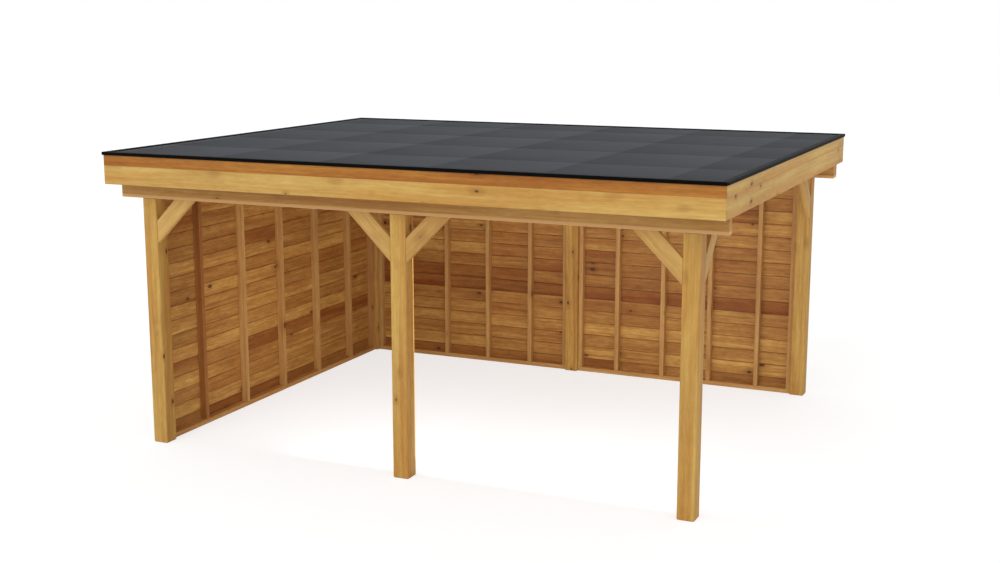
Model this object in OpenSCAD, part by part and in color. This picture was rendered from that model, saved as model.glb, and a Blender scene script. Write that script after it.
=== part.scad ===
// Freestanding veranda: timber frame, flat roof, closed left side and back.
// Millimetres. X runs along the front, Y to the back, Z up; origin on the
// ground under the middle of the roof.

/* [Frame] */
// Distance between post centres along the front
bay_width = 2500; // [1800:10:3200]
// Distance between front and back post centres
depth = 4000; // [2400:10:5200]
// Clear height from ground to the underside of the beams
post_height = 2268; // [1900:1:2800]
// Square section of the posts
post_size = 145; // [100:1:200]
// Softened arris on the post corners
post_arris = 10; // [4:1:16]

/* [Beams] */
// Height of the beams
beam_height = 195; // [140:1:260]
// Thickness of the front and side beams
beam_thickness = 70; // [45:1:100]
// Thickness of the back beam
back_beam_thickness = 145; // [70:1:145]

// How far the front beam stands proud of the post faces
beam_proud = 15; // [0:1:25]

/* [Knee braces] */
// Width of a brace in its own plane
brace_width = 145; // [90:1:160]
// Thickness of a brace
brace_thickness = 45; // [35:1:70]
// How far a brace reaches from its post along the beam
brace_reach = 405; // [300:5:650]
// Set-back of a brace from the post face
brace_setback = 5; // [2:1:12]

/* [Walls] */
// Wide face of the studs and rails
stud_depth = 70; // [45:1:90]
// Thickness of the studs and rails
stud_thickness = 45; // [35:1:60]
// Thickness of the cladding boards
cladding_thickness = 20; // [16:1:28]
// Stud spaces along the whole back wall
back_stud_spaces = 10; // [8:2:14]
// Stud spaces along the whole left wall
left_stud_spaces = 6; // [4:1:8]

/* [Roof] */
// Roof joist height
joist_height = 195; // [140:1:240]
// Roof joist thickness
joist_thickness = 45; // [35:1:75]
// Number of roof joists
joist_count = 10; // [7:1:14]
// Roof edge past the post faces at the sides
side_overhang = 232.5; // [150:0.5:400]
// Roof edge past the post faces at front and back
front_overhang = 217.5; // [150:0.5:400]
// Deck board thickness
deck_thickness = 18; // [15:1:28]
// Roofing sheet thickness
covering_thickness = 4; // [2:0.5:6]

/* [Fascia and trim] */
// Thickness of the fascia boards
fascia_thickness = 20; // [18:1:32]
// Height of the lower fascia board
fascia_lower_height = 166; // [120:1:220]
// How far the fascia hangs below the top of the beams
fascia_drop = 60; // [20:1:120]
// Thickness of the edge trim standing off the fascia
trim_stand_off = 10; // [6:1:30]
// Height of the edge trim on the outside
trim_height = 28; // [20:1:45]
// Thickness of the trim flange lying on the roof
trim_flange = 8; // [4:1:12]
// Width of the trim flange lying on the roof
trim_flange_width = 40; // [20:1:60]

/* [Hidden] */
$fn = 32;
half_x = bay_width + post_size / 2;          // outer post faces, left and right
half_y = depth / 2 + post_size / 2;          // outer post faces, front and back
inner_y = depth / 2 - post_size / 2;         // inner faces of front and back posts
fascia_x = half_x + side_overhang;           // outer face of the side fascia
fascia_y = half_y + front_overhang;          // outer face of the front fascia
carcass_x = fascia_x - fascia_thickness;
carcass_y = fascia_y - fascia_thickness;
beam_top = post_height + beam_height;
joist_top = beam_top + joist_height;
deck_top = joist_top + deck_thickness;
roof_top = deck_top + covering_thickness;
fascia_bottom = beam_top - fascia_drop;
fascia_split = fascia_bottom + fascia_lower_height;
trim_x = fascia_x + trim_stand_off;
trim_y = fascia_y + trim_stand_off;
trim_top = roof_top + trim_flange;
stud_foot = stud_thickness;
stud_length = post_height - 2 * stud_thickness;
bay_clear = bay_width - post_size;
back_pitch = 2 * half_x / back_stud_spaces;
left_pitch = 2 * half_y / left_stud_spaces;
joist_pitch = (2 * carcass_x - joist_thickness) / (joist_count - 1);
brace_inner = brace_reach - brace_width * sqrt(2);

timber = [0.78, 0.60, 0.34];
timber_dark = [0.66, 0.45, 0.25];
fascia_tone = [0.80, 0.62, 0.32];
deck_tone = [0.72, 0.60, 0.42];
slate = [0.34, 0.36, 0.38];
black = [0.06, 0.06, 0.07];

// box given by its low corner and its size
module board(low, size) { translate(low) cube(size); }

// square post with rounded arrises, standing on the ground
module post(x, y) {
  straight = post_size - 2 * post_arris;
  corner = straight / 2;
  color(timber)
    translate([x, y, 0])
      linear_extrude(height = post_height)
        union() {
          square([post_size, straight], center = true);
          square([straight, post_size], center = true);
          for (sx = [-1, 1], sy = [-1, 1])
            translate([sx * corner, sy * corner]) circle(r = post_arris);
        }
}

module post_front_left() { post(-bay_width, -depth / 2); }
module post_front_middle() { post(0, -depth / 2); }
module post_front_right() { post(bay_width, -depth / 2); }
module post_back_left() { post(-bay_width, depth / 2); }
module post_back_middle() { post(0, depth / 2); }
module post_back_right() { post(bay_width, depth / 2); }

// beams
module beam_front() {
  color(timber_dark)
    board([-carcass_x, -half_y - beam_proud, post_height],
          [2 * carcass_x, beam_thickness, beam_height]);
}
module beam_back() {
  color(timber_dark)
    board([-carcass_x, half_y - back_beam_thickness, post_height],
          [2 * carcass_x, back_beam_thickness, beam_height]);
}
module side_beam(x) {
  start = -half_y - beam_proud + beam_thickness;
  color(timber_dark)
    board([x, start, post_height],
          [beam_thickness, half_y - back_beam_thickness - start, beam_height]);
}
module beam_left() { side_beam(-half_x); }
module beam_right() { side_beam(half_x - beam_thickness); }

// knee brace drawn in its own plane: out along the beam, down the post
module brace_shape() {
  polygon([[0, -brace_inner], [brace_inner, 0], [brace_reach, 0], [0, -brace_reach]]);
}
// brace in the front plane, out to the right (side = 1) or left (side = -1)
module front_brace(x, side) {
  color(timber)
    translate([x + side * post_size / 2, -half_y + brace_setback, post_height])
      scale([side, 1, 1])
        translate([0, brace_thickness, 0])
          rotate([90, 0, 0])
            linear_extrude(height = brace_thickness) brace_shape();
}
// brace in the right side plane, out to the back (side = 1) or front (side = -1)
module side_brace(y, side) {
  color(timber)
    translate([half_x - brace_setback - brace_thickness, y, post_height])
      scale([1, side, 1])
        rotate([90, 0, 90])
          linear_extrude(height = brace_thickness) brace_shape();
}
module brace_front_left() { front_brace(-bay_width, 1); }
module brace_middle_left() { front_brace(0, -1); }
module brace_middle_right() { front_brace(0, 1); }
module brace_front_right() { front_brace(bay_width, -1); }
module brace_side_front() { side_brace(-inner_y, 1); }
module brace_side_back() { side_brace(inner_y, -1); }

// roof
module roof_joists() {
  color(timber_dark)
    for (i = [0 : joist_count - 1])
      board([-carcass_x + i * joist_pitch, -carcass_y, beam_top],
            [joist_thickness, 2 * carcass_y, joist_height]);
}
module roof_deck() {
  color(deck_tone)
    board([-carcass_x, -carcass_y, joist_top], [2 * carcass_x, 2 * carcass_y, deck_thickness]);
}
module roof_covering() {
  color(slate)
    board([-fascia_x, -fascia_y, deck_top], [2 * fascia_x, 2 * fascia_y, covering_thickness]);
}

// fascia boards: front and back run through, sides fit between them
module fascia_long(y, low, high) {
  color(fascia_tone)
    board([-fascia_x, y, low], [2 * fascia_x, fascia_thickness, high - low]);
}
module fascia_side(x, low, high) {
  color(fascia_tone)
    board([x, -carcass_y, low], [fascia_thickness, 2 * carcass_y, high - low]);
}
module fascia_front_upper() { fascia_long(-fascia_y, fascia_split, deck_top); }
module fascia_front_lower() { fascia_long(-fascia_y, fascia_bottom, fascia_split); }
module fascia_back_upper() { fascia_long(carcass_y, fascia_split, deck_top); }
module fascia_back_lower() { fascia_long(carcass_y, fascia_bottom, fascia_split); }
module fascia_left_upper() { fascia_side(-fascia_x, fascia_split, deck_top); }
module fascia_left_lower() { fascia_side(-fascia_x, fascia_bottom, fascia_split); }
module fascia_right_upper() { fascia_side(carcass_x, fascia_split, deck_top); }
module fascia_right_lower() { fascia_side(carcass_x, fascia_bottom, fascia_split); }

// edge trim: an angle section, outer leg on the fascia, flange on the roof,
// drawn with the outside of the leg on x = 0
module trim_shape() {
  polygon([
    [0, trim_top - trim_height], [0, trim_top],
    [trim_stand_off + trim_flange_width, trim_top],
    [trim_stand_off + trim_flange_width, roof_top],
    [trim_stand_off, roof_top],
    [trim_stand_off, trim_top - trim_height]
  ]);
}
module trim_run(length) {
  color(black)
    rotate([90, 0, 90])
      translate([0, 0, -length / 2])
        linear_extrude(height = length) trim_shape();
}
module edge_trim_front() { translate([0, -trim_y, 0]) trim_run(2 * trim_x); }
module edge_trim_back() { rotate([0, 0, 180]) translate([0, -trim_y, 0]) trim_run(2 * trim_x); }
module trim_side() {
  inside = trim_stand_off + trim_flange_width;
  translate([0, -trim_x, 0]) trim_run(2 * (trim_y - inside));
}
module edge_trim_left() { rotate([0, 0, -90]) trim_side(); }
module edge_trim_right() { rotate([0, 0, 90]) trim_side(); }

// left wall, between the front and back posts, centred on the posts
module left_rail(z) {
  color(timber_dark)
    board([-bay_width - stud_depth / 2, -inner_y, z], [stud_depth, 2 * inner_y, stud_thickness]);
}
module left_wall_bottom_rail() { left_rail(0); }
module left_wall_top_rail() { left_rail(post_height - stud_thickness); }
module left_wall_studs() {
  last = left_stud_spaces / 2 - 1;
  color(timber)
    for (y = concat([-inner_y, inner_y - stud_thickness],
                    [for (k = [-last : last]) k * left_pitch - stud_thickness / 2]))
      board([-bay_width - stud_depth / 2, y, stud_foot],
            [stud_depth, stud_thickness, stud_length]);
}
module left_wall_cladding() {
  color(timber_dark)
    board([-bay_width - stud_depth / 2 - cladding_thickness, -inner_y, 0],
          [cladding_thickness, 2 * inner_y, post_height]);
}

// back wall bays: side = -1 is the left bay, 1 the right bay
module back_rail(side, z) {
  color(timber_dark)
    board([side * bay_width / 2 - bay_clear / 2, depth / 2 - stud_depth / 2, z],
          [bay_clear, stud_depth, stud_thickness]);
}
module back_studs(side) {
  first = side * bay_width / 2 - bay_clear / 2;
  last = back_stud_spaces / 2 - 1;
  color(timber)
    for (x = concat([first, first + bay_clear - stud_thickness],
                    [for (k = [1 : last]) side * k * back_pitch - stud_thickness / 2]))
      board([x, depth / 2 - stud_depth / 2, stud_foot],
            [stud_thickness, stud_depth, stud_length]);
}
module back_cladding(side) {
  color(timber_dark)
    board([side * bay_width / 2 - bay_clear / 2, depth / 2 + stud_depth / 2, 0],
          [bay_clear, cladding_thickness, post_height]);
}
module back_wall_left_bottom_rail() { back_rail(-1, 0); }
module back_wall_left_top_rail() { back_rail(-1, post_height - stud_thickness); }
module back_wall_left_studs() { back_studs(-1); }
module back_wall_left_cladding() { back_cladding(-1); }
module back_wall_right_bottom_rail() { back_rail(1, 0); }
module back_wall_right_top_rail() { back_rail(1, post_height - stud_thickness); }
module back_wall_right_studs() { back_studs(1); }
module back_wall_right_cladding() { back_cladding(1); }

// --- draw
post_front_left();
post_front_middle();
post_front_right();
post_back_left();
post_back_middle();
post_back_right();
beam_front();
beam_back();
beam_left();
beam_right();
brace_front_left();
brace_middle_left();
brace_middle_right();
brace_front_right();
brace_side_front();
brace_side_back();
roof_joists();
roof_deck();
roof_covering();
fascia_front_upper();
fascia_front_lower();
fascia_back_upper();
fascia_back_lower();
fascia_left_upper();
fascia_left_lower();
fascia_right_upper();
fascia_right_lower();
edge_trim_front();
edge_trim_back();
edge_trim_left();
edge_trim_right();
left_wall_bottom_rail();
left_wall_top_rail();
left_wall_studs();
left_wall_cladding();
back_wall_left_bottom_rail();
back_wall_left_top_rail();
back_wall_left_studs();
back_wall_left_cladding();
back_wall_right_bottom_rail();
back_wall_right_top_rail();
back_wall_right_studs();
back_wall_right_cladding();
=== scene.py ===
"""Freestanding veranda: planed timber frame, boarded left side and back, flat sheeted roof."""
import math
import random

import bmesh
import bpy
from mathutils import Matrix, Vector


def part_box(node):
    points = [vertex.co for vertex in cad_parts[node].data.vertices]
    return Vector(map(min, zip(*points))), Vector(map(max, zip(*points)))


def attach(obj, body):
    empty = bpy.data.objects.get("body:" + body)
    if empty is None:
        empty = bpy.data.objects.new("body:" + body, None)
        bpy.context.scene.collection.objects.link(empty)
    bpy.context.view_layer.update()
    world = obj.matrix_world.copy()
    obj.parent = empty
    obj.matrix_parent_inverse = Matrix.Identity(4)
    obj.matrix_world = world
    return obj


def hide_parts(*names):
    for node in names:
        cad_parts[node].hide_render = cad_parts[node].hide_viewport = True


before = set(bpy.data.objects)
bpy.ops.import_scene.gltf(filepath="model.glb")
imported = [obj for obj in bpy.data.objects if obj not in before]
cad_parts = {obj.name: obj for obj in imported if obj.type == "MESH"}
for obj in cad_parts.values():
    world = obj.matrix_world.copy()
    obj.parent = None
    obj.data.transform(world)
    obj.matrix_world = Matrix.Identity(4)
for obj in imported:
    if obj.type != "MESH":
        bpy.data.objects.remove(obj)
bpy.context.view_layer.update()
scene = bpy.context.scene


# ---- Camera -----------------------------------------------------------------
# Standing off the front right corner on a low platform, looking back and
# left across the roof, with a normal lens and no shift.
camera = bpy.data.objects.new("camera", bpy.data.cameras.new("camera"))
camera.data.lens = 50.0
camera.data.sensor_width = 36.0
camera.data.clip_end = 200.0
camera.location = (5.3604, -12.0380, 3.8610)
camera.rotation_euler = (math.radians(90.0 - 10.8188), 0.0, math.radians(23.9987))
scene.collection.objects.link(camera)
scene.camera = camera


# ---- Posts ------------------------------------------------------------------
# Six square posts of planed larch, the arrises taken off with a round cutter.
# They stand on the ground and carry the ring of beams on their heads.
POST_ARRIS = 0.010
END_CHAMFER = 0.6  # the chamfer round a timber's ends, as a share of its arris
AXES = {
    "X": ((1, 0, 0), (0, 0, 1), (0, 1, 0)),
    "Y": ((0, 1, 0), (0, 0, 1), (1, 0, 0)),
    "Z": ((0, 0, 1), (1, 0, 0), (0, 1, 0)),
}


def srgb(red, green, blue):
    """A colour written as 0-255 screen values, as the shader's linear colour."""
    return tuple((v / 255.0) ** 2.2 for v in (red, green, blue)) + (1.0,)


def new_timbers():
    """An empty mesh that keeps, for each timber, its own grain direction and tone."""
    bm = bmesh.new()
    bm.verts.layers.float_vector.new("grain")
    bm.verts.layers.float_vector.new("section")
    bm.verts.layers.float_vector.new("tone")
    return bm


def section_ring(width, thick, arris, steps=3):
    """Points round a rectangle whose corners are rounded to the arris radius."""
    half_w, half_t = width / 2 - arris, thick / 2 - arris
    ring = []
    for turn, (sw, st) in enumerate(((1, 1), (-1, 1), (-1, -1), (1, -1))):
        for step in range(steps + 1):
            angle = math.radians(90.0 * (turn + step / steps))
            ring.append((sw * half_w + arris * math.cos(angle),
                         st * half_t + arris * math.sin(angle)))
    return ring


def add_timber(bm, origin, axes, length, width, thick, arris, tone=(0, 0, 0), seed=0,
               cuts=(0.0, 0.0)):
    """One timber from origin along axes[0]. A cut is the slope of an end across the width."""
    along, across, through = (Vector(a).normalized() for a in axes)
    draw = random.Random(seed)
    shift = Vector((draw.uniform(0, 60), draw.uniform(-2, 2), draw.uniform(-2, 2)))
    grain = bm.verts.layers.float_vector["grain"]
    section = bm.verts.layers.float_vector["section"]
    tones = bm.verts.layers.float_vector["tone"]
    chamfer = arris * END_CHAMFER
    stations = ((0.0, chamfer, cuts[0]), (chamfer, 0.0, cuts[0]),
                (length - chamfer, 0.0, cuts[1]), (length, chamfer, cuts[1]))
    rings = []
    for place, inset, slope in stations:
        ring = []
        for w, t in section_ring(width - 2 * inset, thick - 2 * inset, arris):
            x = place + slope * w
            vert = bm.verts.new(Vector(origin) + along * x + across * w + through * t)
            vert[grain] = Vector((x, w, t)) + shift
            vert[section] = Vector((x / length, 2 * w / width, 2 * t / thick))
            vert[tones] = Vector(tone)
            ring.append(vert)
        rings.append(ring)
    count = len(rings[0])
    for near, far in zip(rings, rings[1:]):
        for i in range(count):
            bm.faces.new((near[i], near[(i + 1) % count], far[(i + 1) % count], far[i]))
    bm.faces.new(rings[0][::-1])
    bm.faces.new(rings[-1])


def add_square_timber(bm, low, high, run, arris, tone=(0, 0, 0), seed=0):
    """A timber that fills the box low to high, its grain along the axis named by run."""
    axes = AXES[run]
    low, high = Vector(low), Vector(high)
    size = [abs((high - low).dot(Vector(a))) for a in axes]
    origin = (low + high) / 2 - Vector(axes[0]) * size[0] / 2
    add_timber(bm, origin, axes, size[0], size[1], size[2], arris, tone, seed)


def fit_timbers(name, bm, material, nodes):
    """Puts the finished timbers in the scene, in place of their plain solids."""
    bmesh.ops.recalc_face_normals(bm, faces=bm.faces)
    mesh = bpy.data.meshes.new(name)
    bm.to_mesh(mesh)
    bm.free()
    mesh.materials.append(material)
    piece = bpy.data.objects.new(name, mesh)
    scene.collection.objects.link(piece)
    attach(piece, "root")
    if nodes:
        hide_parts(*nodes)
    return piece


def new_group(name, inputs, outputs):
    """A shader node group with the named sockets, and its two end nodes."""
    group = bpy.data.node_groups.new(name, "ShaderNodeTree")
    for label, kind, value in inputs:
        socket = group.interface.new_socket(label, in_out="INPUT", socket_type=kind)
        if value is not None:
            socket.default_value = value
    for label, kind in outputs:
        group.interface.new_socket(label, in_out="OUTPUT", socket_type=kind)
    return group, group.nodes.new("NodeGroupInput"), group.nodes.new("NodeGroupOutput")


class Wiring:
    """Short ways to add the nodes that the finishes are wired from."""

    def __init__(self, tree):
        self.tree = tree

    def node(self, kind, **settings):
        made = self.tree.nodes.new(kind)
        for key, value in settings.items():
            setattr(made, key, value)
        return made

    def feed(self, socket, value):
        if isinstance(value, bpy.types.NodeSocket):
            self.tree.links.new(value, socket)
        else:
            socket.default_value = value

    def maths(self, operation, first, second=0.0, third=None):
        made = self.node("ShaderNodeMath", operation=operation)
        self.feed(made.inputs[0], first)
        self.feed(made.inputs[1], second)
        if third is not None:
            self.feed(made.inputs[2], third)
        return made.outputs[0]

    def stretch(self, vector, scale):
        made = self.node("ShaderNodeVectorMath", operation="MULTIPLY")
        self.feed(made.inputs[0], vector)
        made.inputs[1].default_value = scale
        return made.outputs[0]

    def add_vectors(self, first, second):
        made = self.node("ShaderNodeVectorMath", operation="ADD")
        self.feed(made.inputs[0], first)
        self.feed(made.inputs[1], second)
        return made.outputs[0]

    def noise(self, vector, scale=1.0, detail=3.0, rough=0.55, colour=False):
        made = self.node("ShaderNodeTexNoise")
        self.feed(made.inputs["Vector"], vector)
        made.inputs["Scale"].default_value = scale
        made.inputs["Detail"].default_value = detail
        made.inputs["Roughness"].default_value = rough
        return made.outputs["Color" if colour else "Fac"]

    def ramp(self, value, low, high, out_low=0.0, out_high=1.0):
        made = self.node("ShaderNodeMapRange", interpolation_type="SMOOTHSTEP")
        for socket, amount in zip(made.inputs, (value, low, high, out_low, out_high)):
            self.feed(socket, amount)
        return made.outputs[0]

    def mix(self, share, first, second, blend="MIX"):
        made = self.node("ShaderNodeMix", data_type="RGBA", blend_type=blend)
        made.clamp_result = False
        self.feed(made.inputs[0], share)
        self.feed(made.inputs[6], first)
        self.feed(made.inputs[7], second)
        return made.outputs[2]


def build_grain_group():
    """Softwood figure: growth streaks, heartwood bands, fibre and knots along the grain."""
    group, inside, out = new_group(
        "softwood_figure",
        (("Grain", "NodeSocketVector", None), ("Tone", "NodeSocketVector", None),
         ("Sapwood", "NodeSocketColor", None), ("Latewood", "NodeSocketColor", None),
         ("Heartwood", "NodeSocketColor", None), ("Heart Share", "NodeSocketFloat", 0.5),
         ("Contrast", "NodeSocketFloat", 0.6), ("Knots", "NodeSocketFloat", 0.5),
         ("Mottle", "NodeSocketFloat", 0.12), ("Section", "NodeSocketVector", None),
         ("Edge Shade", "NodeSocketFloat", 0.2)),
        (("Color", "NodeSocketColor"), ("Roughness", "NodeSocketFloat"),
         ("Height", "NodeSocketFloat")))
    w = Wiring(group)
    grain = inside.outputs["Grain"]

    # slow wander of the grain, so that streaks run out in long arches
    wander = w.noise(w.stretch(grain, (1.1, 2.6, 2.6)), detail=2.0, colour=True)
    wander = w.stretch(w.add_vectors(wander, (-0.5, -0.5, -0.5)), (0.0, 0.055, 0.055))
    flow = w.add_vectors(grain, wander)
    streaks = w.noise(w.stretch(flow, (0.9, 34.0, 34.0)), detail=5.0, rough=0.62)
    streaks = w.ramp(streaks, 0.34, 0.68)
    bands = w.noise(w.stretch(flow, (0.35, 9.0, 9.0)), detail=2.0, rough=0.5)
    bands = w.ramp(bands, 0.44, 0.62)
    fibre = w.noise(w.stretch(flow, (6.0, 210.0, 210.0)), detail=3.0, rough=0.6)
    clouds = w.noise(w.stretch(grain, (0.8, 3.0, 3.0)), detail=3.0)
    flecks = w.noise(w.stretch(flow, (12.0, 70.0, 70.0)), detail=4.0, rough=0.7)
    blotches = w.noise(w.stretch(grain, (5.0, 16.0, 16.0)), detail=4.0, rough=0.65)

    # a few sound knots, each with a dark rim
    cells = w.node("ShaderNodeTexVoronoi", feature="F1", voronoi_dimensions="3D")
    w.feed(cells.inputs["Vector"], w.stretch(flow, (3.4, 6.2, 6.2)))
    cells.inputs["Scale"].default_value = 1.0
    chosen = w.node("ShaderNodeSeparateColor")
    w.feed(chosen.inputs[0], cells.outputs["Color"])
    picked = w.ramp(chosen.outputs[0], w.maths("SUBTRACT", 1.0, inside.outputs["Knots"]),
                    w.maths("SUBTRACT", 1.02, inside.outputs["Knots"]))
    size = w.maths("MULTIPLY_ADD", chosen.outputs[1], 0.08, 0.06)
    reach = w.maths("DIVIDE", cells.outputs["Distance"], size)
    knot = w.maths("MULTIPLY", w.ramp(reach, 1.0, 0.72), picked)
    halo = w.maths("MULTIPLY", w.ramp(reach, 3.2, 0.8), picked)

    colour = w.mix(w.maths("MULTIPLY", streaks, inside.outputs["Contrast"]),
                   inside.outputs["Sapwood"], inside.outputs["Latewood"])
    tone = w.node("ShaderNodeSeparateXYZ")
    w.feed(tone.inputs[0], inside.outputs["Tone"])
    heart = w.maths("MULTIPLY", bands, inside.outputs["Heart Share"])
    heart = w.maths("ADD", heart, tone.outputs[1])
    limit = w.node("ShaderNodeClamp")
    w.feed(limit.inputs[0], heart)
    colour = w.mix(limit.outputs[0], colour, inside.outputs["Heartwood"])
    light = w.maths("MULTIPLY_ADD", tone.outputs[0], 0.34, 1.0)
    light = w.maths("MULTIPLY", light, w.ramp(clouds, 0.25, 0.75, 0.88, 1.12))
    light = w.maths("MULTIPLY", light, w.ramp(fibre, 0.2, 0.8, 0.93, 1.07))
    light = w.maths("MULTIPLY", light, w.maths("MULTIPLY_ADD", halo, -0.22, 1.0))
    mottle = w.maths("ADD", w.ramp(flecks, 0.3, 0.7, -1.0, 1.0),
                     w.ramp(blotches, 0.3, 0.7, -0.8, 0.8))
    mottle = w.maths("MULTIPLY_ADD", mottle, inside.outputs["Mottle"], 1.0)
    light = w.maths("MULTIPLY", light, mottle)

    # the eased edges hold shade and dust
    place = w.node("ShaderNodeSeparateXYZ")
    w.feed(place.inputs[0], inside.outputs["Section"])
    corner = w.maths("MINIMUM", w.maths("ABSOLUTE", place.outputs[1]),
                     w.maths("ABSOLUTE", place.outputs[2]))
    edge = w.ramp(corner, 0.90, 0.99)
    edge = w.maths("MULTIPLY", edge, inside.outputs["Edge Shade"])
    light = w.maths("MULTIPLY", light, w.maths("SUBTRACT", 1.0, edge))
    # darker wood is redder, as the green goes before the red does
    shade = w.node("ShaderNodeCombineColor")
    for socket, power in zip(shade.inputs, (0.75, 1.0, 1.15)):
        w.feed(socket, w.maths("POWER", light, power))
    colour = w.mix(1.0, colour, shade.outputs[0], "MULTIPLY")
    colour = w.mix(w.maths("MULTIPLY", knot, 0.85), colour, (0.085, 0.028, 0.008, 1.0))

    w.feed(out.inputs["Color"], colour)
    w.feed(out.inputs["Roughness"], w.ramp(streaks, 0.0, 1.0, 0.66, 0.54))
    height = w.maths("MULTIPLY_ADD", fibre, 0.5, w.maths("MULTIPLY", streaks, 0.5))
    w.feed(out.inputs["Height"], w.maths("SUBTRACT", height, w.maths("MULTIPLY", knot, 0.3)))
    return group


softwood_figure = build_grain_group()


def timber_finish(name, sapwood, latewood, heartwood, heart_share=0.4, contrast=0.6, knots=0.45,
                  mottle=0.10, edge_shade=0.1, painted_lit_edge=None):
    """Bare planed softwood. painted_lit_edge = (how far up the width it reaches, colour): a paler
    strip along the lower edge, painted light.
    """
    material = bpy.data.materials.new(name)
    material.use_nodes = True
    tree = material.node_tree
    shader = tree.nodes["Principled BSDF"]
    w = Wiring(tree)
    figure = w.node("ShaderNodeGroup", node_tree=softwood_figure)
    grain = w.node("ShaderNodeAttribute", attribute_name="grain")
    tone = w.node("ShaderNodeAttribute", attribute_name="tone")
    w.feed(figure.inputs["Grain"], grain.outputs["Vector"])
    w.feed(figure.inputs["Tone"], tone.outputs["Vector"])
    figure.inputs["Sapwood"].default_value = sapwood
    figure.inputs["Latewood"].default_value = latewood
    figure.inputs["Heartwood"].default_value = heartwood
    figure.inputs["Heart Share"].default_value = heart_share
    figure.inputs["Contrast"].default_value = contrast
    figure.inputs["Knots"].default_value = knots
    figure.inputs["Mottle"].default_value = mottle
    figure.inputs["Edge Shade"].default_value = edge_shade
    section = w.node("ShaderNodeAttribute", attribute_name="section")
    w.feed(figure.inputs["Section"], section.outputs["Vector"])
    colour = figure.outputs["Color"]
    # a paler strip along the lower part of the width, painted light for a lit lower edge
    if painted_lit_edge:
        parts = w.node("ShaderNodeSeparateXYZ")
        w.feed(parts.inputs[0], section.outputs["Vector"])
        reach, painted_lit_colour = painted_lit_edge
        edge = w.ramp(parts.outputs[1], reach + 0.06, reach - 0.06)
        colour = w.mix(edge, colour, painted_lit_colour)
    w.feed(shader.inputs["Base Color"], colour)
    w.feed(shader.inputs["Roughness"], figure.outputs["Roughness"])
    shader.inputs["Specular IOR Level"].default_value = 0.3
    bump = w.node("ShaderNodeBump")
    bump.inputs["Strength"].default_value = 0.35
    bump.inputs["Distance"].default_value = 0.0015
    w.feed(bump.inputs["Height"], figure.outputs["Height"])
    w.feed(shader.inputs["Normal"], bump.outputs["Normal"])
    return material


post_wood = timber_finish("post_wood", srgb(206, 168, 92), srgb(188, 134, 60), srgb(172, 106, 44),
                          heart_share=0.4, contrast=0.85, knots=0.8, mottle=0.07)
post_nodes = ["post_%s_%s" % (row, place) for row in ("front", "back")
              for place in ("left", "middle", "right")]
for number, node in enumerate(post_nodes):
    low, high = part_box(node)
    bm = new_timbers()
    add_square_timber(bm, low, high, "Z", POST_ARRIS, tone=(0.05, 0.0, 0), seed=100 + number)
    fit_timbers(node + "_timber", bm, post_wood, [node])


# ---- Beams ------------------------------------------------------------------
# Planed beams on the post heads. A paler strip along each one's lower arris is painted light,
# where that edge is lit; the side beams butt between the front and back beams.
BEAM_ARRIS = 0.004
beam_wood = timber_finish("beam_wood", srgb(204, 156, 88), srgb(178, 124, 62), srgb(160, 98, 42),
                          heart_share=0.35, contrast=0.8, knots=0.6, mottle=0.07,
                          painted_lit_edge=(-0.72, srgb(222, 172, 112)))
for number, (node, run) in enumerate((("beam_front", "X"), ("beam_back", "X"),
                                      ("beam_left", "Y"), ("beam_right", "Y"))):
    low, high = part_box(node)
    bm = new_timbers()
    add_square_timber(bm, low, high, run, BEAM_ARRIS, seed=200 + number)
    fit_timbers(node + "_timber", bm, beam_wood, [node])


# ---- Knee braces ------------------------------------------------------------
# Short 45 degree struts between post and beam, cut from 145 x 45 planks, both
# ends mitred to sit flat on the post and under the beam.
BRACE_ARRIS = 0.004
BRACE_WIDTH = 0.145
brace_wood = timber_finish("brace_wood", srgb(210, 170, 100), srgb(190, 142, 74),
                           srgb(178, 118, 54), heart_share=0.3, contrast=0.7, knots=0.5, mottle=0.06)


def add_brace(bm, low, high, level, side, seed):
    """A brace in the box low to high. level is its level axis, side +1 if it rises along it."""
    flat = Vector(AXES[level][0])
    reach = high[2] - low[2]
    thick_axis = Vector((0, 1, 0)) if level == "X" else Vector((1, 0, 0))
    middle = (Vector(low) + Vector(high)) / 2
    foot = Vector(middle) - flat * side * reach / 2
    foot.z = high[2]
    # the brace's centre line, from the post face up to the beam underside
    drop = reach - BRACE_WIDTH / math.sqrt(2)
    start = Vector((foot.x, foot.y, high[2] - drop))
    along = (flat * side + Vector((0, 0, 1))).normalized()
    across = (flat * side - Vector((0, 0, 1))).normalized()
    add_timber(bm, start, (along, across, thick_axis), drop * math.sqrt(2), BRACE_WIDTH,
               abs((Vector(high) - Vector(low)).dot(thick_axis)), BRACE_ARRIS,
               seed=seed, cuts=(-1.0, 1.0))


for number, (node, level, side) in enumerate((
        ("brace_front_left", "X", 1), ("brace_middle_left", "X", -1),
        ("brace_middle_right", "X", 1), ("brace_front_right", "X", -1),
        ("brace_side_front", "Y", 1), ("brace_side_back", "Y", -1))):
    low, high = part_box(node)
    bm = new_timbers()
    add_brace(bm, low, high, level, side, seed=300 + number)
    fit_timbers(node + "_timber", bm, brace_wood, [node])


# ---- Roof joists and deck boards --------------------------------------------
# Joists laid front to back over the beams, and tongue-and-groove deck boards
# nailed across them. They show only from below.
JOIST_COUNT = 10
JOIST_WIDTH = 0.045
JOIST_ARRIS = 0.003
DECK_BOARD = 0.121
roof_wood = timber_finish("roof_wood", srgb(200, 160, 106), srgb(176, 128, 76), srgb(160, 104, 58),
                          heart_share=0.4, contrast=0.6, knots=0.5)
low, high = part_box("roof_joists")
joist_pitch = (high[0] - low[0] - JOIST_WIDTH) / (JOIST_COUNT - 1)
joist_places = [low[0] + i * joist_pitch for i in range(JOIST_COUNT)]
bm = new_timbers()
for number, x in enumerate(joist_places):
    add_square_timber(bm, (x, low[1], low[2]), (x + JOIST_WIDTH, high[1], high[2]), "Y",
                      JOIST_ARRIS, tone=(random.Random(number).uniform(-0.3, 0.3), 0, 0),
                      seed=400 + number)
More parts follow.
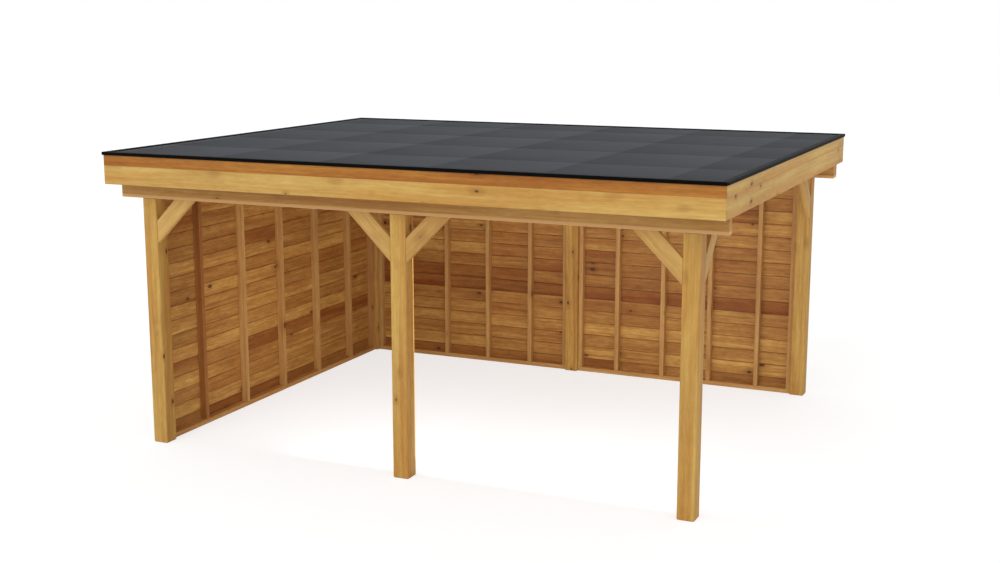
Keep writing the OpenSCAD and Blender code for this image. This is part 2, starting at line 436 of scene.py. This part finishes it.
fit_timbers("roof_joist_timbers", bm, roof_wood, ["roof_joists"])

low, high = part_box("roof_deck")
draw = random.Random(7)
bm = new_timbers()
board_count = math.ceil((high[1] - low[1]) / DECK_BOARD)
for number in range(board_count):
    front = low[1] + number * DECK_BOARD
    back = min(front + DECK_BOARD, high[1])
    add_square_timber(bm, (low[0], front, low[2]), (high[0], back, high[2]), "X", 0.0025,
                      tone=(draw.uniform(-0.5, 0.4), draw.uniform(0.0, 0.4), 0),
                      seed=450 + number)
fit_timbers("roof_deck_boards", bm, roof_wood, ["roof_deck"])


# ---- Roofing sheet ----------------------------------------------------------
# Grey mineral-faced roofing in metre-wide strips, each lapped over the one in
# front and stuck down; every metre square has its own slight change of tone.
STRIP = 1.0
FIRST_LAP = -1.40
LAP = 0.06
LAP_RISE = 0.0005
LAP_FADE_OUT = 0.10  # how far back from its front edge a strip lies proud
SQUARE_FADE = 0.32  # the change of tone across each metre square, both ways
low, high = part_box("roof_covering")
roofing = bpy.data.materials.new("grey_roofing")
roofing.use_nodes = True
shader = roofing.node_tree.nodes["Principled BSDF"]
w = Wiring(roofing.node_tree)
place = w.node("ShaderNodeTexCoord").outputs["Object"]
parts = w.node("ShaderNodeSeparateXYZ")
w.feed(parts.inputs[0], place)
across_square = w.maths("FRACT", w.maths("ADD", parts.outputs[0], 20.66))
down_square = w.maths("FRACT", w.maths("ADD", parts.outputs[1], 20.40))
fade = w.maths("ADD", w.maths("MULTIPLY", across_square, SQUARE_FADE),
               w.maths("MULTIPLY", down_square, SQUARE_FADE))
clouds = w.noise(w.stretch(place, (1.3, 1.3, 1.3)), detail=4.0)
granules = w.noise(place, scale=420.0, detail=2.0)
fade = w.maths("ADD", fade, w.ramp(clouds, 0.3, 0.7, -0.06, 0.06))
fade = w.maths("ADD", fade, w.ramp(granules, 0.3, 0.7, -0.08, 0.08))
grey = w.mix(w.maths("ADD", fade, 0.16), srgb(20, 22, 26), srgb(72, 76, 83))
w.feed(shader.inputs["Base Color"], grey)
shader.inputs["Roughness"].default_value = 0.85
shader.inputs["Specular IOR Level"].default_value = 0.25
bump = w.node("ShaderNodeBump")
bump.inputs["Strength"].default_value = 0.4
bump.inputs["Distance"].default_value = 0.0008
w.feed(bump.inputs["Height"], granules)
w.feed(shader.inputs["Normal"], bump.outputs["Normal"])

bm = bmesh.new()
fronts = [low[1]] + [FIRST_LAP + STRIP * i for i in range(4)]
backs = [f + LAP for f in fronts[1:]] + [high[1]]
for front, back in zip(fronts, backs):
    rows = ((front, high[2] + LAP_RISE), (front + LAP_FADE_OUT, high[2] + LAP_RISE * 0.6),
            (back - 0.08, high[2] - 0.0002), (back, high[2] - 0.0006))
    if front == low[1]:
        rows = ((front, high[2]),) + rows[2:]
    top = [[bm.verts.new((x, y, z)) for x in (low[0], high[0])] for y, z in rows]
    under = [[bm.verts.new((x, y, low[2])) for x in (low[0], high[0])] for y, z in rows]
    for i in range(len(rows) - 1):
        bm.faces.new((top[i][0], top[i][1], top[i + 1][1], top[i + 1][0]))
        bm.faces.new((under[i][1], under[i][0], under[i + 1][0], under[i + 1][1]))
        for s in (0, 1):
            bm.faces.new((top[i][s], under[i][s], under[i + 1][s], top[i + 1][s]))
    for i in (0, -1):
        bm.faces.new((top[i][0], top[i][1], under[i][1], under[i][0]))
bmesh.ops.recalc_face_normals(bm, faces=bm.faces)
mesh = bpy.data.meshes.new("roofing_strips")
bm.to_mesh(mesh)
bm.free()
mesh.materials.append(roofing)
strips = bpy.data.objects.new("roofing_strips", mesh)
scene.collection.objects.link(strips)
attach(strips, "root")
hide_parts("roof_covering")


# ---- Fascia -----------------------------------------------------------------
# Two planed boards stacked on each side of the roof, screwed to the joist ends
# and outer joists. The upper boards at the front and back are red heartwood, the
# rest are yellow sapwood.
FASCIA_ARRIS = 0.003
upper_wood = timber_finish("upper_fascia_wood", srgb(184, 124, 53), srgb(160, 96, 36),
                           srgb(148, 80, 28), heart_share=0.5, contrast=0.8, knots=0.2)
lower_wood = timber_finish("lower_fascia_wood", srgb(210, 172, 98), srgb(194, 144, 68),
                           srgb(190, 124, 46), heart_share=0.4, contrast=0.8, knots=0.9, mottle=0.06)
SIDES = (("front", "X"), ("back", "X"), ("left", "Y"), ("right", "Y"))
for number, (side, run) in enumerate(SIDES):
    rows = (("upper", upper_wood if run == "X" else lower_wood), ("lower", lower_wood))
    for row, wood in rows:
        node = "fascia_%s_%s" % (side, row)
        low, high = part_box(node)
        bm = new_timbers()
        add_square_timber(bm, low, high, run, FASCIA_ARRIS, seed=500 + 10 * number + len(row))
        fit_timbers(node + "_board", bm, wood, [node])


# ---- Edge trim --------------------------------------------------------------
# Black powder-coated angle round the roof edge, one leg over the fascia and one
# flange pressed down on the roofing. The plain solids already have its shape.
trim_black = bpy.data.materials.new("trim_black")
trim_black.use_nodes = True
shader = trim_black.node_tree.nodes["Principled BSDF"]
w = Wiring(trim_black.node_tree)
place = w.node("ShaderNodeTexCoord").outputs["Object"]
speckle = w.noise(place, scale=260.0, detail=2.0)
w.feed(shader.inputs["Base Color"],
       w.mix(speckle, (0.0006, 0.0006, 0.0008, 1), (0.0020, 0.0020, 0.0024, 1)))
w.feed(shader.inputs["Roughness"], w.ramp(speckle, 0.3, 0.7, 0.55, 0.70))
shader.inputs["Specular IOR Level"].default_value = 0.06
for side, _ in SIDES:
    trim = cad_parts["edge_trim_" + side]
    trim.data.materials.clear()
    trim.data.materials.append(trim_black)


# ---- Wall framing -----------------------------------------------------------
# Studs and rails of 70 x 45 between the posts, set on the posts' centre line,
# nailed to the posts at the ends of each wall.
STUD_ARRIS = 0.003
STUD_THICKNESS = 0.045
frame_wood = timber_finish("wall_frame_wood", srgb(210, 166, 104), srgb(184, 132, 74),
                           srgb(166, 106, 54), heart_share=0.3, contrast=0.7, knots=0.5, mottle=0.06)
# (lightness, heartwood) of the left wall's studs, from the front
LEFT_STUDS = ((-0.1, 0.2), (-0.45, 0.6), (0.2, 0.0), (0.1, 0.0), (0.0, 0.1), (0.15, 0.0),
              (-0.1, 0.1))
WALLS = (("left_wall", "Y"), ("back_wall_left", "X"), ("back_wall_right", "X"))
half_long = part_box("post_back_right")[1][0]
half_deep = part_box("post_back_right")[1][1]
left_pitch = 2 * half_deep / 6
back_pitch = 2 * half_long / 10

low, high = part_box("left_wall_studs")
stud_starts = [low[1], high[1] - STUD_THICKNESS]
stud_starts += [k * left_pitch - STUD_THICKNESS / 2 for k in range(-2, 3)]
bm = new_timbers()
for number, y in enumerate(sorted(stud_starts)):
    add_square_timber(bm, (low[0], y, low[2]), (high[0], y + STUD_THICKNESS, high[2]), "Z",
                      STUD_ARRIS, tone=(*LEFT_STUDS[number], 0), seed=600 + number)
fit_timbers("left_wall_stud_timbers", bm, frame_wood, ["left_wall_studs"])

for bay, side in (("back_wall_left", -1), ("back_wall_right", 1)):
    low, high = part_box(bay + "_studs")
    stud_starts = [low[0], high[0] - STUD_THICKNESS]
    stud_starts += [side * k * back_pitch - STUD_THICKNESS / 2 for k in range(1, 5)]
    bm = new_timbers()
    for number, x in enumerate(sorted(stud_starts)):
        add_square_timber(bm, (x, low[1], low[2]), (x + STUD_THICKNESS, high[1], high[2]), "Z",
                          STUD_ARRIS, tone=(random.Random(number + 9).uniform(-0.25, 0.25), 0, 0),
                          seed=650 + 20 * side + number)
    fit_timbers(bay + "_stud_timbers", bm, frame_wood, [bay + "_studs"])

for number, (wall, run) in enumerate(WALLS):
    for rail in ("bottom_rail", "top_rail"):
        node = "%s_%s" % (wall, rail)
        low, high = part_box(node)
        bm = new_timbers()
        add_square_timber(bm, low, high, run, STUD_ARRIS, tone=(0.25, 0, 0),
                          seed=700 + 10 * number + len(rail))
        fit_timbers(node + "_timber", bm, frame_wood, [node])


# ---- Wall boards ------------------------------------------------------------
# Horizontal tongue-and-groove boards, 135 mm on the face and 20 mm thick, their
# edges eased to a small V, nailed to the outside of the studs in short lengths
# that meet on a stud.
BOARD_FACE = 0.135
BOARD_ARRIS = 0.003
BUTT_JOINTS = 0.7  # the share of studs on which a course has a joint
board_wood = timber_finish("wall_board_wood", srgb(210, 164, 90), srgb(178, 120, 58),
                           srgb(146, 80, 34), heart_share=0.3, contrast=0.8, knots=0.6,
                           mottle=0.16, edge_shade=0.85)
# (lightness, heartwood) of each course, from the ground up
# the first course of each wall is darker and redder: painted shade along the ground
LEFT_COURSES = ((-0.5, 0.45), (0.1, 0.0), (0.1, 0.05), (0.35, 0.0), (-0.3, 0.4), (0.35, 0.0),
                (0.0, 0.1), (0.1, 0.0), (0.0, 0.1), (0.0, 0.15), (0.1, 0.1), (0.0, 0.1),
                (-0.3, 0.35), (0.0, 0.2), (-0.1, 0.3), (0.1, 0.1), (-0.2, 0.3))
BACK_COURSES = ((-0.3, 0.3), (0.2, 0.0), (0.15, 0.0), (0.45, 0.0), (0.1, 0.1), (0.0, 0.1),
                (-0.5, 0.6), (-0.2, 0.3), (-0.2, 0.2), (-0.1, 0.2), (0.0, 0.1), (0.0, 0.1),
                (0.2, 0.0), (0.0, 0.25), (-0.2, 0.35), (0.1, 0.1), (0.3, 0.0))
for number, (wall, run) in enumerate(WALLS):
    node = wall + "_cladding"
    low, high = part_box(node)
    draw = random.Random(40 + number)
    bm = new_timbers()
    axis, pitch = (1, left_pitch) if run == "Y" else (0, back_pitch)
    studs = [k * pitch for k in range(-5, 6)
             if low[axis] + pitch / 2 < k * pitch < high[axis] - pitch / 2]
    tones = LEFT_COURSES if run == "Y" else BACK_COURSES
    for course in range(math.ceil((high[2] - low[2]) / BOARD_FACE)):
        bottom = low[2] + course * BOARD_FACE
        top = min(bottom + BOARD_FACE, high[2])
        lightness, heart = tones[course % len(tones)]
        ends = [low[axis]] + [stud for stud in studs if draw.random() < BUTT_JOINTS] + [high[axis]]
        for place, (start, end) in enumerate(zip(ends, ends[1:])):
            corner, far = [low[0], low[1], bottom], [high[0], high[1], top]
            corner[axis], far[axis] = start, end
            tone = (lightness + draw.uniform(-0.32, 0.24),
                    max(0.0, heart + draw.uniform(-0.1, 0.28)), 0)
            add_square_timber(bm, corner, far, run, BOARD_ARRIS, tone=tone,
                              seed=1000 + 400 * number + 20 * course + place)
    fit_timbers(wall + "_boards", bm, board_wood, [node])


# ---- Ground and light -------------------------------------------------------
# A plain pale floor that runs out to white, a soft sky, a broad lamp from the
# front, and a weak wide one under the roof's front edge that lights the inside.
floor_mesh = bpy.data.meshes.new("floor")
FLOOR_REACH = 60.0
FLOOR_DROP = 0.0005  # just clear of the posts' feet
floor_mesh.from_pydata([(x * FLOOR_REACH, y * FLOOR_REACH, 0)
                        for x, y in ((-1, -1), (1, -1), (1, 1), (-1, 1))], [], [(0, 1, 2, 3)])
floor_white = bpy.data.materials.new("floor_white")
floor_white.use_nodes = True
shader = floor_white.node_tree.nodes["Principled BSDF"]
shader.inputs["Base Color"].default_value = (0.92, 0.92, 0.92, 1.0)
shader.inputs["Roughness"].default_value = 0.9
shader.inputs["Specular IOR Level"].default_value = 0.0
w = Wiring(floor_white.node_tree)
glow = w.node("ShaderNodeEmission")
glow.inputs["Strength"].default_value = 1.22
blend = w.node("ShaderNodeMixShader")
rays = w.node("ShaderNodeLightPath")
w.feed(blend.inputs[0], w.maths("MULTIPLY", rays.outputs["Is Camera Ray"], 0.6))
w.feed(blend.inputs[1], shader.outputs[0])
w.feed(blend.inputs[2], glow.outputs[0])
w.feed(floor_white.node_tree.nodes["Material Output"].inputs["Surface"], blend.outputs[0])
floor_mesh.materials.append(floor_white)
floor = bpy.data.objects.new("floor", floor_mesh)
floor.location.z = -FLOOR_DROP
scene.collection.objects.link(floor)

world = bpy.data.worlds.new("studio")
scene.world = world
world.use_nodes = True
w = Wiring(world.node_tree)
background = world.node_tree.nodes["Background"]
rays = w.node("ShaderNodeLightPath")
seen = w.maths("MAXIMUM", rays.outputs["Is Camera Ray"],
               w.maths("MAXIMUM", rays.outputs["Is Glossy Ray"], rays.outputs["Is Transmission Ray"]))
background.inputs["Color"].default_value = (1.0, 1.0, 1.0, 1.0)
w.feed(background.inputs["Strength"], w.maths("MULTIPLY_ADD", seen, 0.25, 0.75))

sun = bpy.data.objects.new("lamp", bpy.data.lights.new("lamp", "SUN"))
sun.data.energy = 0.7
sun.data.angle = math.radians(25.0)
sun.rotation_euler = (math.radians(52.0), 0.0, math.radians(-8.0))
scene.collection.objects.link(sun)

fill = bpy.data.objects.new("fill", bpy.data.lights.new("fill", "AREA"))
fill.data.shape = "RECTANGLE"
fill.data.size, fill.data.size_y = 3.6, 1.9
fill.data.energy = 45.0
fill.location = (0.6, -1.95, 1.10)
fill.rotation_euler = (math.radians(90.0), 0.0, 0.0)
fill.visible_camera = False
scene.collection.objects.link(fill)

scene.view_settings.view_transform = "Standard"
